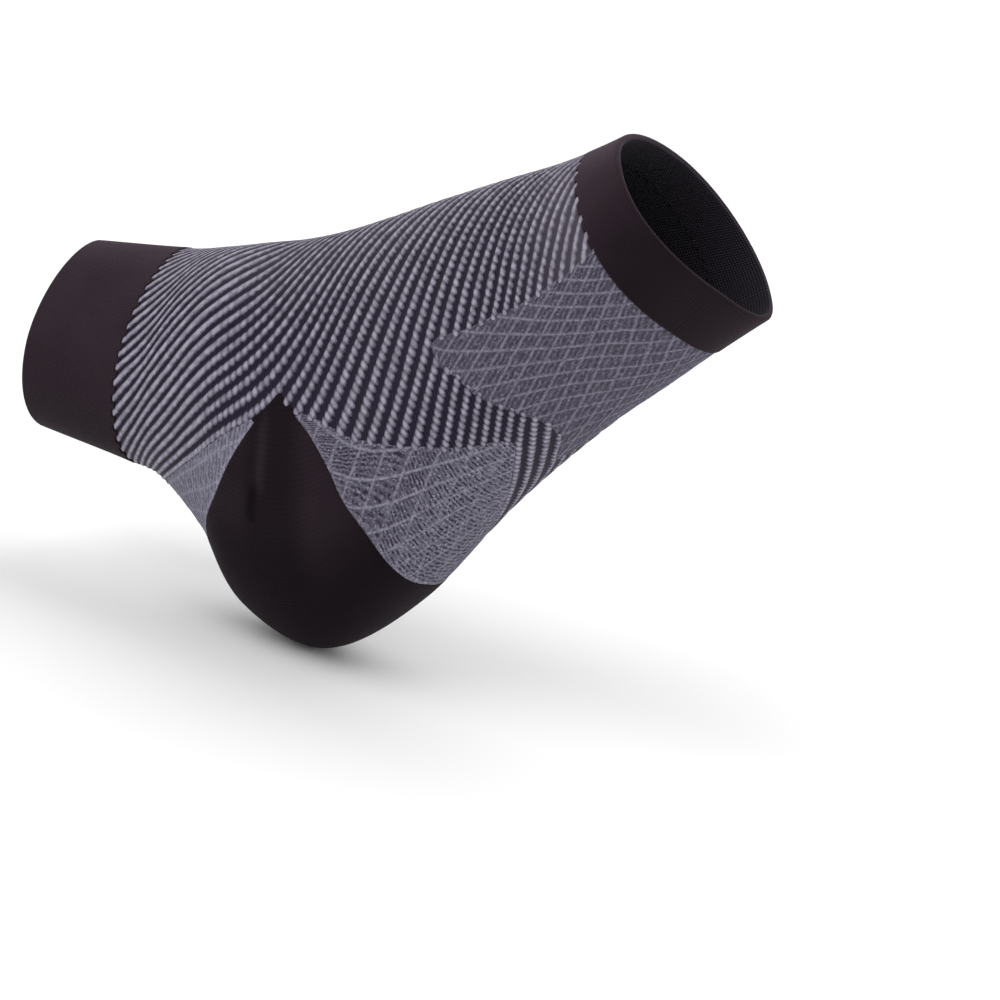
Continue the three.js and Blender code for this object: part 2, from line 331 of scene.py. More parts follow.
# Courses of the knit, counted along the inner side of the foot
COURSE_ANGLE = 75
COURSE_STATIONS = 1101
COURSE_ROWS = np.linspace(0, LAST_ROW, COURSE_STATIONS)
COURSE_POINTS = surface(COURSE_ROWS, np.full(COURSE_ROWS.shape, float(COURSE_ANGLE)))
COURSE_SUM = np.concatenate([[0], np.cumsum(lengths(np.diff(COURSE_POINTS, axis=0)))])


def along_mm(row):
    return np.interp(row, COURSE_ROWS, COURSE_SUM)


# How each stripe angle's share adds up round the section, and last that of the hidden half's own swell
ROUND_STATIONS = 721
ROUND = np.linspace(-180, 180, ROUND_STATIONS)
SHARES = []
for k in range(len(STRIPE_ANGLES)):
    one = np.eye(len(STRIPE_ANGLES))[k]
    hidden = one[-1] + (one[0] - one[-1]) * (ROUND + 180) / 180
    SHARES.append(np.where(ROUND < 0, hidden, np.interp(ROUND, STRIPE_ANGLES, one)))
SHARES.append(np.where(ROUND < 0, np.sin(np.pi * (ROUND + 180) / 180), 0))
SHARES = np.array(SHARES)
SUMS = np.cumsum((SHARES[:, 1:] + SHARES[:, :-1]) / 2 * (ROUND[1] - ROUND[0]), 1) / 360
SUMS = np.concatenate([np.zeros((len(SHARES), 1)), SUMS], 1)
TOTALS = SUMS[:, -1]


def stripe_value(name, row):
    """One column of the stripe table, smooth over the distance along the foot."""
    keys = along_mm(STRIPE_VALUES[:, 0])
    return smooth_at(keys, STRIPE_VALUES[:, STRIPE_COLUMNS.index(name)], along_mm(row))


def even_degrees(row, degrees):
    """Degrees round the section, made even along the flat of the sole."""
    power = smooth_at(ROW_NUMBERS, SECTION_VALUES[:, SECTION_COLUMNS.index("back_power")], row)
    off = degrees - 180
    near = np.minimum(np.abs(off) / SOLE_FLAT, 1)
    return np.where(near < 1, 180 + np.sign(off) * SOLE_FLAT * near ** (2 / power), degrees)


def share_sum(k, degrees):
    """One of the shares, added up from the angle where stripes are counted."""
    return np.interp(degrees, ROUND, SUMS[k]) - np.interp(COUNT_ANGLE, ROUND, SUMS[k])


def stripe_phase(place):
    """Stripes counted to a point: whole numbers are the middles of the light ropes."""
    degrees = even_degrees(place.row, place.degrees)
    degrees = np.where(degrees > 180, degrees - 360, degrees)
    swell = STRIPES_ROUND_LEG
    before = STRIPES_ROUND_LEG
    for from_row, to_row, stripes_round in ROUND_CHANGES:
        swell = swell + (stripes_round - before) * smooth_step(from_row, to_row, place.row)
        before = stripes_round
    phase = stripe_value("count", place.row)
    for k, name in enumerate(STRIPE_COLUMNS[2:]):
        value = stripe_value(name, place.row)
        swell = swell - value * TOTALS[k]
        phase = phase + value * share_sum(k, degrees)
    return phase + swell / TOTALS[-1] * share_sum(-1, degrees)


def stripe_rates(place):
    """Stripes passed along one row and round one degree."""
    there = stripe_phase(place)
    onward = stripe_phase(Place(np.minimum(place.row + ROW_STEP, LAST_ROW), place.degrees)) - there
    turned = stripe_phase(Place(place.row, place.degrees + DEGREE_STEP)) - there
    return onward / ROW_STEP, (turned - np.round(turned)) / DEGREE_STEP


def slopes_product(place, first, second):
    """Product of two slopes on the surface, each given along one row and round one degree."""
    along = (place.along * place.along).sum(-1)
    cross = (place.along * place.round).sum(-1)
    around = (place.round * place.round).sum(-1)
    same = around * first[0] * second[0] + along * first[1] * second[1]
    mixed = cross * (first[0] * second[1] + first[1] * second[0])
    return (same - mixed) / (along * around - cross * cross)


def stripe_width(place):
    """Width of one stripe with its ground, in millimetres."""
    rates = stripe_rates(place)
    return 1 / np.sqrt(slopes_product(place, rates, rates))


# Slanted strokes of the ropes, counted along a rope on the inner side
STROKE_PLACE = Place(COURSE_ROWS, np.full(COURSE_ROWS.shape, float(STROKE_ANGLE)))
STROKE_RATES = stripe_rates(STROKE_PLACE)
ROPE_RUN = STROKE_PLACE.along - (STROKE_RATES[0] / STROKE_RATES[1])[:, None] * STROKE_PLACE.round
STROKE_RATE = lengths(ROPE_RUN) / STROKE
STROKE_STEPS = (STROKE_RATE[1:] + STROKE_RATE[:-1]) / 2 * np.diff(COURSE_ROWS)
STROKE_SUM = np.concatenate([[0], np.cumsum(STROKE_STEPS)])


def strokes(place):
    """Strokes counted to a point, and how many more a stroke passes from one stripe to the next."""
    count = np.interp(place.row, COURSE_ROWS, STROKE_SUM)
    onward = np.interp(place.row, COURSE_ROWS, STROKE_RATE), np.zeros(place.row.shape)
    rates = stripe_rates(place)
    steep = np.sqrt(slopes_product(place, rates, rates))
    over = slopes_product(place, onward, rates) / steep
    along = np.sqrt(np.maximum(slopes_product(place, onward, onward) - over * over, 0))
    return count, (STROKE_LEAN * along - over) / steep


def rope_half(row):
    """Half a rope's share of its stripe."""
    return ROPE_HALF_LEG + (ROPE_HALF_FOOT - ROPE_HALF_LEG) * smooth_step(*ROPE_NARROWS, row)


def rope_of(place):
    """1 on a light rope and 0 on the ground between two."""
    phase = stripe_phase(place)
    off = np.abs(phase - np.round(phase)) - rope_half(place.row)
    return 1 - smooth_step(-ROPE_SOFT, ROPE_SOFT, off)


def tooth(place):
    """How far the light ropes run past a border, and the ground stays behind it."""
    return TOOTH * (2 * rope_of(place) - 1)


def edge_rounding(inside, size):
    """How far a face drops near its edge, rounded like a quarter circle of that size."""
    left = np.clip(1 - inside / size, 0, 1)
    return size * (1 - np.sqrt(1 - left * left * ROUNDED_SHARE))


# Share of a grid's edge that a cut keeps away from its ends
CUT_MARGIN = 0.06


def clip_grid(row, degrees, inside, goes_round):
    """Cuts a grid of places where inside passes 0: returns the kept places and the faces between them."""
    down, across = row.shape
    wide = across if goes_round else across - 1
    number = np.arange(down * across).reshape(down, across)
    row_flat = row.ravel()
    angle_flat = degrees.ravel()
    inside_flat = inside.ravel()
    kept = inside_flat > 0
    rows = [row_flat]
    angles = [angle_flat]

    def cut(a, b, turn):
        """New places on the edges a to b, where inside changes sign."""
        f = np.clip(inside_flat[a] / (inside_flat[a] - inside_flat[b]), CUT_MARGIN, 1 - CUT_MARGIN)
        first = sum(len(part) for part in rows)
        rows.append(row_flat[a] + f * (row_flat[b] - row_flat[a]))
        angles.append(angle_flat[a] + f * (angle_flat[b] + turn - angle_flat[a]))
        return first + np.arange(len(a))

    right = np.concatenate([number[:, 1:], number[:, :1]], 1)[:, :wide]
    side = number[:, :wide]
    turn = np.zeros(side.shape)
    if goes_round:
        turn[:, -1] = 360
    change = kept[side] != kept[right]
    across_cut = np.full(side.shape, -1)
    across_cut[change] = cut(side[change], right[change], turn[change])
    above = number[:-1]
    below = number[1:]
    change = kept[above] != kept[below]
    down_cut = np.full(above.shape, -1)
    down_cut[change] = cut(above[change], below[change], 0)

    # Each cell's four corners with the cuts between them, in order round the cell
    down_right = np.concatenate([down_cut[:, 1:], down_cut[:, :1]], 1)[:, :wide]
    ring = np.stack([
        side[:-1], across_cut[:-1], right[:-1], down_right,
        right[1:], across_cut[1:], side[1:], down_cut[:, :wide],
    ], -1).reshape(-1, 8)
    corner_kept = kept[ring[:, 0::2]]
    whole = corner_kept.all(1)
    faces = [tuple(f) for f in ring[whole][:, 0::2].tolist()]
    part = corner_kept.any(1) & ~whole
    for cell, keep in zip(ring[part].tolist(), corner_kept[part].tolist()):
        face = []
        for k in range(4):
            if keep[k]:
                face.append(cell[2 * k])
            if cell[2 * k + 1] >= 0:
                face.append(cell[2 * k + 1])
        if len(face) > 2:
            faces.append(tuple(face))
    rows = np.concatenate(rows)
    angles = np.concatenate(angles)
    used = np.unique(np.concatenate([np.array(f) for f in faces]))
    renumber = np.full(len(rows), -1)
    renumber[used] = np.arange(len(used))
    faces = [tuple(renumber[list(f)].tolist()) for f in faces]
    return rows[used], angles[used], faces


def border_edges(faces):
    """Edges that only one face has, in that face's direction."""
    edges = set()
    for face in faces:
        for k in range(len(face)):
            edges.add((face[k], face[(k + 1) % len(face)]))
    return [(a, b) for a, b in edges if (b, a) not in edges]


def knit_piece(name, grid, inside, heights, marks, materials, goes_round):
    """Closed knit wall over a grid of places, cut to where inside(place) is more than 0.

    heights gives the outer and the inner face, and marks the named values that the shaders read.
    """
    row, degrees = grid
    start = inside(Place(row, degrees))
    kept_rows, kept_angles, faces = clip_grid(row, degrees, start, goes_round)
    place = Place(kept_rows, kept_angles)
    room = np.maximum(inside(place), 0)
    outer, inner = heights(place, room)
    count = len(kept_rows)
    points = np.concatenate([place.points(outer), place.points(inner)]) * MM
    wall = [(b, a, a + count, b + count) for a, b in sorted(border_edges(faces))]
    back = [tuple(v + count for v in reversed(face)) for face in faces]
    mesh = bpy.data.meshes.new(name)
    mesh.from_pydata(points.tolist(), [], faces + wall + back)
    mesh.validate()
    for mark, columns in marks(place, room).items():
        data = np.stack([np.broadcast_to(c, place.row.shape) for c in columns], -1)
        data = np.concatenate([data, data]).astype(np.float32)
        mesh.attributes.new(mark, "FLOAT_VECTOR", "POINT").data.foreach_set("vector", data.ravel())
    for material in materials:
        mesh.materials.append(material)
    index = np.zeros(len(mesh.polygons), np.int32)
    index[len(faces) + len(wall):] = len(materials) - 1
    mesh.polygons.foreach_set("material_index", index)
    mesh.shade_smooth()
    mesh.set_sharp_from_angle(angle=SHARP_ANGLE)
    mesh.update()
    piece = bpy.data.objects.new(name, mesh)
    bpy.context.scene.collection.objects.link(piece)
    return piece


# Noises in the shaders: grains a metre, and detail. NOISE_SPAN is the stretch of their values that is used.
NOISES = {
    "fibres": (1800, 2),
    "fine_fibres": (1500, 2),
    "rope_edge": (700, 2),
    "rope_mottle": (520, 3),
    "course_wander": (500, 2),
    "break_wander": (380, 2),
    "scatter": (330, 2),
    "line_loops": (1100, 1),
    "rungs": (900, 2),
    "dots": (1250, 1),
    "black_clouds": (60, 2),
    "paper_clouds": (3, 2),
}
NOISE_SPAN = (0.3, 0.7)

# Cloths: roughness, sheen, and the height of their stitches in millimetres
CLOTHS = {
    "striped_knit": (0.85, 0.1, 0.25),
    "lattice_knit": (0.85, 0.04, 0.22),
    "black_knit": (0.8, 0.1, 0.05),
    "inside_knit": (0.9, 0.03, 0.25),
}
CLOTH_SPECULAR = 0.1
SHEEN_ROUGHNESS = 0.5


class Nodes:
    """Shader nodes of one material, written as sums on sockets and numbers."""

    def __init__(self, name):
        self.name = name
        self.material = bpy.data.materials.new(name)
        self.material.use_nodes = True
        self.tree = self.material.node_tree
        self.shader = self.tree.nodes["Principled BSDF"]

    def put(self, socket, value):
        if isinstance(value, bpy.types.NodeSocket):
            self.tree.links.new(value, socket)
        else:
            socket.default_value = value

    def colour(self, value):
        self.put(self.shader.inputs["Base Color"], value)

    def math(self, operation, *values):
        node = self.tree.nodes.new("ShaderNodeMath")
        node.operation = operation
        for socket, value in zip(node.inputs, values):
            self.put(socket, value)
        return node.outputs[0]

    def times(self, a, b):
        return self.math("MULTIPLY", a, b)

    def plus(self, a, b):
        return self.math("ADD", a, b)

    def minus(self, a, b):
        return self.math("SUBTRACT", a, b)

    def wave(self, x):
        """0 at whole numbers of x and 1 half-way between them, in straight lines."""
        away = self.minus(self.math("FRACT", x), 0.5)
        return self.minus(1.0, self.times(self.math("ABSOLUTE", away), 2.0))

    def mark(self, name):
        """The three values of one of the mesh's marks."""
        node = self.tree.nodes.new("ShaderNodeAttribute")
        node.attribute_name = name
        split = self.tree.nodes.new("ShaderNodeSeparateXYZ")
        self.put(split.inputs[0], node.outputs["Vector"])
        return list(split.outputs)

    def ramp(self, x, low, high, start=0.0, end=1.0):
        """Smooth change from start to end as x goes from low to high."""
        node = self.tree.nodes.new("ShaderNodeMapRange")
        node.interpolation_type = "SMOOTHSTEP"
        for socket, value in zip(node.inputs, (x, low, high, start, end)):
            self.put(socket, value)
        return node.outputs[0]

    def noise(self, name):
        grains, detail = NOISES[name]
        node = self.tree.nodes.new("ShaderNodeTexNoise")
        place = self.tree.nodes.new("ShaderNodeTexCoord")
        self.put(node.inputs["Vector"], place.outputs["Object"])
        self.put(node.inputs["Scale"], grains)
        self.put(node.inputs["Detail"], detail)
        return node.outputs["Fac"]

    def wander(self, x, noise, most):
        """x moved by a noise, by no more than most either way."""
        return self.plus(x, self.ramp(self.noise(noise), *NOISE_SPAN, -most, most))

    def mix(self, share, first, second):
        node = self.tree.nodes.new("ShaderNodeMix")
        node.data_type = "RGBA"
        self.put(node.inputs["Factor"], share)
        self.put(node.inputs["A"], first)
        self.put(node.inputs["B"], second)
        return node.outputs["Result"]

    def cloth(self, height):
        """Finishes a knit: its roughness and sheen, and the small relief of its stitches."""
        roughness, sheen, relief = CLOTHS[self.name]
        self.shader.inputs["Roughness"].default_value = roughness
        self.shader.inputs["Specular IOR Level"].default_value = CLOTH_SPECULAR
        self.shader.inputs["Sheen Weight"].default_value = sheen
        self.shader.inputs["Sheen Roughness"].default_value = SHEEN_ROUGHNESS
        node = self.tree.nodes.new("ShaderNodeBump")
        self.put(node.inputs["Distance"], relief * MM)
        self.put(node.inputs["Height"], height)
        self.put(self.shader.inputs["Normal"], node.outputs["Normal"])
        return self.material


def colour(red, green, blue):
    """Linear colour from screen values of 0 to 255, by the sRGB curve."""
    screen = np.array([red, green, blue]) / 255
    linear = np.where(screen <= 0.04045, screen / 12.92, ((screen + 0.055) / 1.055) ** 2.4)
    return (*linear.tolist(), 1.0)


# Colours of the yarns, in the light and in the shade of the stitches
ROPE_LIGHT = colour(157, 152, 168)
ROPE_SHADE = colour(104, 99, 114)
GROUND = colour(36, 30, 47)
GROUND_SHADE = colour(22, 17, 31)
# Paler ground: stretched thin at the toes, and painted light from above on the front
GROUND_THIN_AND_PAINTED_LIGHT = colour(66, 60, 70)
BLACK = colour(28, 20, 26)
BLACK_LIFT = colour(52, 42, 49)
# Deepest black: the heel cup's deeper tone, and painted shade on the bands, low on the heel and in its
# crease
BLACK_DEEP_AND_PAINTED_SHADE = colour(6, 4, 6)
BLACK_SHEEN = (1.0, 0.72, 0.9, 1.0)
PANEL_GREY = colour(72, 68, 81)
PANEL_LIGHT = colour(109, 107, 122)
PANEL_PALE = colour(134, 130, 148)
PANEL_BRIGHT = colour(176, 171, 190)
PANEL_DARK = colour(46, 42, 54)
INSIDE_GREY = colour(64, 60, 70)
INSIDE_DARK = colour(30, 26, 33)

# Striped knit. A rope bulges at its strokes and has a waist and a darker notch at the gaps between them.
BEAD_SPAN = (0.3, 1.0)
BEAD_BULGE = 0.03
BEAD_WAIST = 0.05
ROPE_EDGE_WANDER = 0.035
NOTCH_SPAN = (0.3, 0.9)
NOTCH_SHADE = 0.75
NOTCH_DEPTH = 0.7
MOTTLE_SHADE = 0.7
GROUND_COURSES = (0.2, 0.8)
ROPE_FIBRES = 0.25


def striped_knit():
    """Light ropes of slanted stitches on a dark ground."""
    n = Nodes("striped_knit")
    cosine, sine, bead = n.mark("rope")
    stroke, slant, half = n.mark("knit")
    course, thin_and_painted_light = n.mark("fine")[1:]
    across = n.times(n.math("ARCTAN2", sine, cosine), 1 / (2 * math.pi))
    gap = n.minus(1.0, n.wave(n.plus(stroke, n.times(slant, across))))
    half = n.minus(half, n.times(bead, n.ramp(gap, *BEAD_SPAN, -BEAD_BULGE, BEAD_WAIST)))
    half = n.wander(half, "rope_edge", ROPE_EDGE_WANDER)
    off = n.minus(n.math("ABSOLUTE", across), half)
    rope = n.ramp(off, -ROPE_SHADE_IN, ROPE_SHADE_OUT, 1.0, 0.0)
    notch = n.times(bead, n.ramp(gap, *NOTCH_SPAN))
    mottle = n.ramp(n.noise("rope_mottle"), *NOISE_SPAN, 0.0, MOTTLE_SHADE)
    light = n.mix(n.plus(n.times(notch, NOTCH_SHADE), mottle), ROPE_LIGHT, ROPE_SHADE)
    ground = n.mix(n.ramp(n.wave(course), *GROUND_COURSES), GROUND_SHADE, GROUND)
    # Paler ground where the knit is stretched thin, and where light from above is painted on the front
    ground = n.mix(thin_and_painted_light, ground, GROUND_THIN_AND_PAINTED_LIGHT)
    n.colour(n.mix(rope, ground, light))
    raised = n.times(rope, n.minus(1.0, n.times(notch, NOTCH_DEPTH)))
    return n.cloth(n.plus(raised, n.times(n.noise("fibres"), ROPE_FIBRES)))


# Lattice knit. Short dark stitches lie in courses, broken like bricks and scattered, with pale rungs
# between them, bright dots, and a lattice of pale looped lines on top.
COURSE_WANDER = 0.18
BREAK_WANDER = 0.35
BRICK_SHIFT = 0.5
DASH_ACROSS = (0.45, 0.8)
DASH_ALONG = (0.15, 0.45)
DASH_SCATTER = (0.25, 0.5)
DASH_DEPTH = 0.8
LINE_LOOP_SPAN = (0.35, 0.65)
LINE_LOOP_SHARES = (0.4, 1.15)
LINE_SHARE = 0.85
RUNG_ACROSS = (0.5, 0.0)
RUNG_SPAN = (0.35, 0.7)
RUNG_SHARE = 0.5
DOT_SPAN = (0.56, 0.7)
DOT_SHARE = 0.65
PANEL_FIBRES = 0.3


def lattice_knit():
    """Mid grey knit with a pale lattice and rows of short dark stitches."""
    n = Nodes("lattice_knit")
    line, rim, tone = n.mark("lattice")
    courses, breaks, strength = n.mark("dash")
    courses = n.wander(courses, "course_wander", COURSE_WANDER)
    breaks = n.wander(breaks, "break_wander", BREAK_WANDER)
    brick = n.plus(breaks, n.times(n.math("FLOOR", courses), BRICK_SHIFT))
    dash = n.times(n.ramp(n.wave(courses), *DASH_ACROSS), n.ramp(n.wave(brick), *DASH_ALONG))
    dash = n.times(n.times(dash, strength), n.ramp(n.noise("scatter"), *DASH_SCATTER))
    loops = n.ramp(n.noise("line_loops"), *LINE_LOOP_SPAN, *LINE_LOOP_SHARES)
    pale = n.times(n.math("MAXIMUM", line, rim), loops)
    dash = n.times(dash, n.minus(1.0, pale))
    light = n.mix(tone, PANEL_PALE, PANEL_BRIGHT)
    rung = n.ramp(n.noise("rungs"), *RUNG_SPAN, 0.0, RUNG_SHARE)
    rung = n.times(n.ramp(n.wave(courses), *RUNG_ACROSS), rung)
    base = n.mix(rung, n.mix(tone, PANEL_GREY, PANEL_LIGHT), light)
    base = n.mix(dash, base, PANEL_DARK)
    dots = n.times(n.ramp(n.noise("dots"), *DOT_SPAN, 0.0, DOT_SHARE), strength)
    base = n.mix(dots, base, light)
    n.colour(n.mix(n.times(pale, LINE_SHARE), base, light))
    raised = n.minus(pale, n.times(dash, DASH_DEPTH))
    return n.cloth(n.plus(raised, n.times(n.noise("fibres"), PANEL_FIBRES)))


# Black knit. Very small stitches slant to both sides of each wale; the deeper black, which is the heel
# cup's tone and also painted shade, has less sheen.
VEE_SLANT = 0.5
WALE_SPAN = (0.05, 0.5)
VEE_SPAN = (0.1, 0.6)
STITCH_SHARE = 0.35
CLOUD_SHARES = (0.1, 0.3)
FINE_FIBRES = 0.4
DEEP_SHEENS = (0.1, 0.03)


def black_knit():
    """Fine smooth black knit, with very small stitches in columns."""
    n = Nodes("black_knit")
    wale, course, deep_and_shade = n.mark("fine")
    vee = n.plus(course, n.times(n.wave(wale), VEE_SLANT))
    stitch = n.times(n.ramp(n.wave(wale), *WALE_SPAN), n.ramp(n.wave(vee), *VEE_SPAN))
    clouds = n.ramp(n.noise("black_clouds"), *NOISE_SPAN, *CLOUD_SHARES)
    black = n.mix(n.plus(n.times(stitch, STITCH_SHARE), clouds), BLACK, BLACK_LIFT)
    # Mixes towards the deeper black: the heel cup's tone, and painted shade
    n.colour(n.mix(deep_and_shade, black, BLACK_DEEP_AND_PAINTED_SHADE))
    n.shader.inputs["Sheen Tint"].default_value = BLACK_SHEEN
    n.shader.inputs["Specular Tint"].default_value = BLACK_SHEEN
    finished = n.cloth(n.plus(stitch, n.times(n.noise("fine_fibres"), FINE_FIBRES)))
    n.put(n.shader.inputs["Sheen Weight"], n.ramp(deep_and_shade, 0.0, 1.0, *DEEP_SHEENS))
    return finished


# Reverse side: how a loop gets paler from its edges to its middle
LOOP_SPAN = (0.2, 0.7)


def inside_knit():
    """Reverse side of the knit: dark, with paler loops."""
    n = Nodes("inside_knit")
    wale, course = n.mark("fine")[:2]
    loop = n.times(n.ramp(n.wave(wale), *LOOP_SPAN), n.ramp(n.wave(course), *LOOP_SPAN))
    n.colour(n.mix(loop, INSIDE_DARK, INSIDE_GREY))
    return n.cloth(n.plus(loop, n.times(n.noise("fine_fibres"), FINE_FIBRES)))


STRIPED = striped_knit()
LATTICE = lattice_knit()
BLACK_FINE = black_knit()
INSIDE = inside_knit()

# Fine stitches: wales round the section, and millimetres from one course to the next
FINE_WALES_ROUND = 240
FINE_COURSE = 0.8


def fine_marks(place, tone=0.0):
    """Counts of the fine stitches round and along the knit, and a share of its second tone."""
    return {"fine": (place.degrees / 360 * FINE_WALES_ROUND, along_mm(place.row) / FINE_COURSE, tone)}


def heel_zone(place):
    """How far a point is inside the heel cup and its two panels, less than 0 outside them."""
    room = np.minimum(place.past(rear_start), -place.past(front_end))
    return np.minimum(room, place.in_tips(HEEL_TIPS))


def ball_zone(place):
    """How far a point is inside the ball panel, whose toe side is the band's edge."""
    end = np.where(ball_end(place.degrees) < BAND_EDGE, -place.past(ball_end), FAR)
    return np.minimum(np.minimum(place.past(ball_start), end), place.in_tips(BALL_TIPS))


def stripes_inside(place):
    """Room inside the striped knit, whose ropes run a little over its borders."""
    room = np.minimum(place.past_row(CUFF_END), -place.past_row(BAND_EDGE))
    room = np.minimum(room, -np.maximum(heel_zone(place), ball_zone(place)))
    return room + tooth(place)


def stripe_heights(place, room):
    """Ropes stand out of the outer surface, come down at their ends, and show a little inside."""
    phase = stripe_phase(place)
    off = np.abs(phase - np.round(phase)) / (rope_half(place.row) + ROPE_SOFT)
    rope = np.sqrt(np.clip(1 - off * off, 0, 1))
    rise = np.minimum(ROPE_RISE * stripe_width(place), MOST_RISE)
    taper = np.sqrt(np.clip(room / ROPE_END, ROPE_END_LEAST, 1))
    outer = rise * (rope * taper - ROPE_SUNK)
    return outer, -KNIT_WALL + INNER_ROPE_RISE * rope


def stripe_marks(place, room):
    """The stripe's phase goes to the shader as a cosine and a sine, which have no jump."""
    angle = 2 * np.pi * stripe_phase(place)
    side = side_of(place.degrees)
    bead = smooth_step(*BEADS_START, place.row) * (1 - BEADS_LOST * smooth_step(*BEADS_FADE, place.row))
    bead = bead * (BEADS_FRONT + (1 - BEADS_FRONT) * smooth_step(*BEADS_SIDE, side))
    # Painted light from above: paler ground over the front
    front_painted_light = FRONT_PAINTED_LIGHT * (1 - smooth_step(*FRONT_PAINTED_LIGHT_DEGREES, side))
    marks = fine_marks(place, np.maximum(smooth_step(*TOES_THIN, place.row), front_painted_light))
    marks["rope"] = (np.cos(angle), np.sin(angle), bead)
    marks["knit"] = (*strokes(place), rope_half(place.row))
    return marks


def ankle_inside(place):
    return np.minimum(place.past_row(0), -place.past_row(CUFF_END) - tooth(place))


def toe_inside(place):
    return np.minimum(-place.past_row(LAST_ROW), place.past_row(BAND_EDGE) - toe_tooth(place))


def toe_tooth(place):
    """The toe band's edge is toothed by the ropes, and straight along the ball panel."""
    return np.where(ball_zone(place) > -TOOTH, 0, tooth(place))


def cuff_heights(rim):
    """Faces of a black band, rolled in at its rim and rounded at its edge with the knit."""
    def heights(place, room):
        to_rim = np.abs(place.past_row(rim))
        rolled = edge_rounding(to_rim, RIM_ROUNDING)
        outer = CUFF_PROUD - np.maximum(rolled, edge_rounding(room, CUFF_EDGE_ROUNDING))
        return outer, CUFF_PROUD - CUFF_WALL + rolled
    return heights


# The black bands: how much painted shade they get towards the back and the sole, and over which degrees
BAND_PAINTED_SHADE = 0.8
BAND_PAINTED_SHADE_DEGREES = (70, 160)


def cuff_marks(place, room):
    """The two black bands get painted shade towards the back and the sole: a deeper black there."""
    return fine_marks(place, BAND_PAINTED_SHADE * smooth_step(*BAND_PAINTED_SHADE_DEGREES, side_of(place.degrees)))


# Heel cup: a low pale ridge down from each point, and one short crease at the inner one's end, with painted
# shade in it
RIDGE_ROW = 4.68
RIDGE_HALF = 1.6
RIDGE_RISE = 0.2
RIDGE_STARTS = (77, 86)
RIDGE_STOPS = (97, 106)
CREASE_DEGREES = (100, 113)
CREASE_ROWS = (4.6, 4.54)
CREASE_HALF = 1.2
CREASE_DEPTH = 0.5
CREASE_FADE = 0.35

# Heel cup's share of the deeper black, and its change: more painted shade low down, paler in front, behind
# and on the ridge
HEEL_DEEP = 0.81
HEEL_LOW = (108, 130)
HEEL_LOW_PAINTED_SHADE = 0.15
HEEL_FRONT_ROWS = (5.05, 5.5)
HEEL_FRONT_ENDS = (112, 150)
HEEL_FRONT_LESS = 0.35
HEEL_REAR_ROWS = (4.3, 4.55)
HEEL_REAR_LESS = 0.2
HEEL_RIDGE_LESS = 0.45


def crease(place):
    """1 along the short crease near the middle of the heel cup's inner side."""
    down = (place.degrees - CREASE_DEGREES[0]) / (CREASE_DEGREES[1] - CREASE_DEGREES[0])
    middle = CREASE_ROWS[0] + (CREASE_ROWS[1] - CREASE_ROWS[0]) * down
    ends = smooth_step(0, CREASE_FADE, down) * (1 - smooth_step(1 - CREASE_FADE, 1, down))
    return ends * mound((place.row - middle) * place.row_mm, CREASE_HALF)


def ridge(place):
    """1 along the low ridge below each point of the heel cup."""
    side = side_of(place.degrees)
    ends = smooth_step(*RIDGE_STARTS, side) * (1 - smooth_step(*RIDGE_STOPS, side))
    return ends * mound(place.past_row(RIDGE_ROW), RIDGE_HALF)


def heel_heights(place, room):
    relief = RIDGE_RISE * ridge(place) - CREASE_DEPTH * crease(place)
    outer = relief - edge_rounding(room, PANEL_EDGE_ROUNDING)
    return outer, np.full(place.row.shape, -KNIT_WALL)


def heel_marks(place, room):
    """The heel cup is the deeper black: paler on its ridge and near its borders, with painted shade low
    down and in the crease, where it is darkest.
    """
    side = side_of(place.degrees)
    low = smooth_step(*HEEL_LOW, side)
    front = smooth_step(*HEEL_FRONT_ROWS, place.row) * (1 - smooth_step(*HEEL_FRONT_ENDS, side))
    rear = (1 - smooth_step(*HEEL_REAR_ROWS, place.row)) * (1 - low)
    # The low side, and on the next line the crease, get painted shade: more of the deeper black
    deep_and_shade = HEEL_DEEP + HEEL_LOW_PAINTED_SHADE * low - HEEL_FRONT_LESS * front - HEEL_REAR_LESS * rear
    deep_and_shade = deep_and_shade - HEEL_RIDGE_LESS * ridge(place) + crease(place)
    return fine_marks(place, np.clip(deep_and_shade, 0, 1))


def rear_inside(place):
    room = np.minimum(place.past(rear_start) - tooth(place), -place.past(heel_start))
    return np.minimum(room, place.in_tips(REAR_TIPS))


def heel_inside(place):
    """Room inside the heel cup, which meets the ropes beyond the tips of the two panels."""
    bite = tooth(place)
    past_rear = place.beyond(REAR_TIPS)
    past_front = place.beyond(FRONT_TIPS)
    start = np.where(past_rear, place.past(rear_start) - bite, place.past(heel_start))
    end = np.where(past_front, -place.past(front_end) - bite, -place.past(heel_end))
    return np.minimum(np.minimum(start, end), place.in_tips(HEEL_TIPS) - bite)


def front_inside(place):
    room = np.minimum(place.past(heel_end), -place.past(front_end) - tooth(place))
    return np.minimum(room, place.in_tips(FRONT_TIPS))


def ball_inside(place):
    return np.minimum(ball_zone(place) - tooth(place), -place.past_row(BAND_EDGE))


# Lines of the lattices on the front heel panel and the ball panel. Line 0 passes through row and degrees
# and turns by so many degrees a row. It bends by so many degrees a row squared, from bend_from rows ahead.
# step is the degrees from one line to the next.
LINE_COLUMNS = ("row", "degrees", "turn", "bend", "bend_from", "step")
LATTICE_LINES = {
    "ball_rising": (9, 136, 36, -4.5, 0, 9.4),
    "ball_falling": (9, 137, -14, 0, 0, 10),
    "front_rising": (6, 116, 25, 6, -FAR, 10.6),
    "front_falling": (6.05, 123, -33, 8, -FAR, 17.8),
}

# Relief and half width of a lattice line, and the room over which it fades in from the panel's border
LINE_HALF = 0.32
LINE_FADES_IN = (0.1, 1.2)
LINE_RISE = 0.22
INNER_LINE_RISE = 0.1
PANEL_SUNK = 0.16

